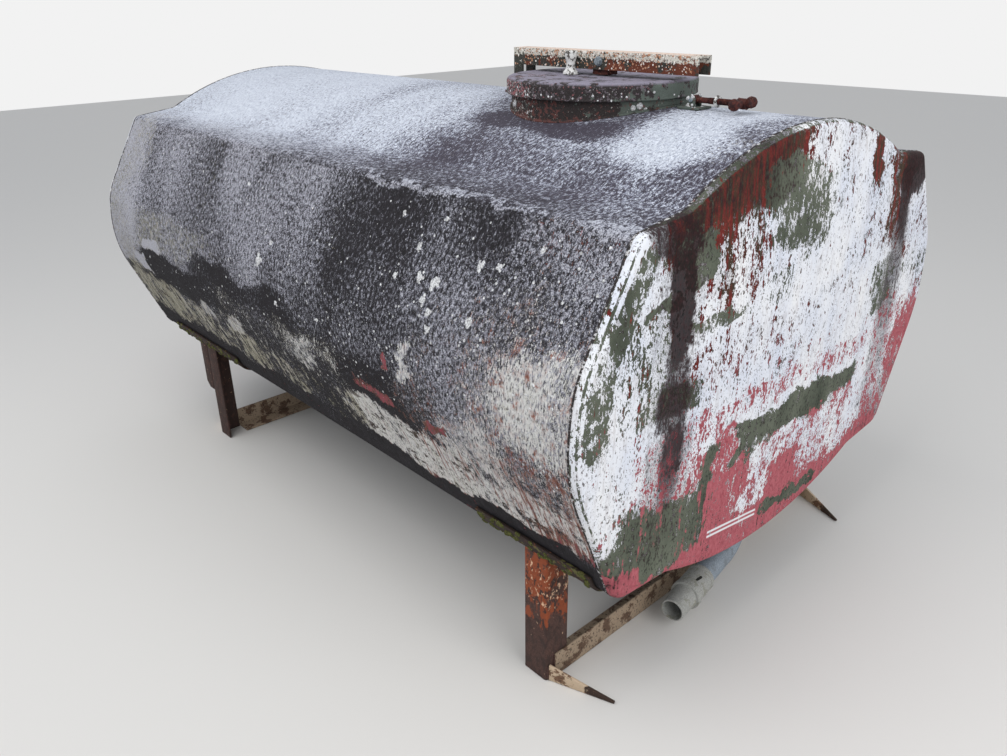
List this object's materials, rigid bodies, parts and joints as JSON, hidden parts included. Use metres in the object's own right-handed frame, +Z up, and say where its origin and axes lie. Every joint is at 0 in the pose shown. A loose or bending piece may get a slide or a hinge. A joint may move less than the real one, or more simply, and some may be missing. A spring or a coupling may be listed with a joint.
{
  "type": "horizontal liquid storage tank",
  "caption": "Horizontal steel liquid tank with a crowned, ledged top, dished ends, a clamped round manway, a low side outlet and an angle-iron stand.",
  "frame": {"origin": "middle of the bounding box on the ground, under the tank", "axes": "+X along the tank towards its near head and the manway end, +Y across to the side away from the outlet's mouth, +Z up"},
  "size_m": [2.584, 1.6066, 1.519],
  "materials": {
    "shell_paint": "lichen-covered flaking paint",
    "head_paint": "flaking white paint over red and green primer",
    "manway_paint": "weathered grey-green paint with lichen",
    "rusted_iron": "rusted",
    "bolt_steel": "dull zinc",
    "stand_steel": "rusted",
    "outlet_metal": "oxidised, dirty"
  },
  "bodies": {
    "tank": {"crown_plate": "shell_paint", "left_side_plate": "shell_paint", "right_side_plate": "shell_paint", "bottom_plate": "shell_paint", "near_head": "head_paint", "far_head": "head_paint", "near_head_weld": "shell_paint", "far_head_weld": "shell_paint", "manway_neck": "manway_paint", "hinge_base": "manway_paint", "hinge_lugs": "manway_paint", "hinge_pin": "bolt_steel", "bolt_base": "manway_paint", "bolt_lugs": "manway_paint", "bolt_pin": "bolt_steel", "near_left_rail": "stand_steel", "near_right_rail": "stand_steel", "far_left_rail": "stand_steel", "far_right_rail": "stand_steel", "near_left_post": "stand_steel", "near_right_post": "stand_steel", "far_left_post": "stand_steel", "far_right_post": "stand_steel", "near_left_spur": "stand_steel", "near_right_spur": "stand_steel", "far_left_spur": "stand_steel", "far_right_spur": "stand_steel", "far_left_cleat": "stand_steel", "far_right_cleat": "stand_steel", "near_beam": "stand_steel", "far_beam": "stand_steel", "outlet_pad": "outlet_metal", "outlet_riser": "outlet_metal", "outlet_elbow": "outlet_metal", "outlet_pipe": "outlet_metal", "outlet_coupling": "outlet_metal", "outlet_collar": "outlet_metal", "outlet_mouth": "outlet_metal"},
    "cover": {"manway_lid": "manway_paint", "lid_block": "rusted_iron", "lid_pivot_bolt": "bolt_steel", "lid_lug": "manway_paint", "clamp_bar": "rusted_iron"},
    "swing_bolt": {"swing_bolt": "rusted_iron", "bolt_washer": "bolt_steel", "hand_nut": "rusted_iron"}
  },
  "joints": [
    {"name": "cover_hinge", "type": "hinge", "parent": "tank", "child": "cover", "pos_m": [0.295, 0, 1.427], "axis": [0, -1, 0], "range_deg": [0, 95]},
    {"name": "bolt_swing", "type": "hinge", "parent": "tank", "child": "swing_bolt", "pos_m": [0.919, 0, 1.413], "axis": [0, -1, 0], "range_deg": [0, 90]}
  ]
}
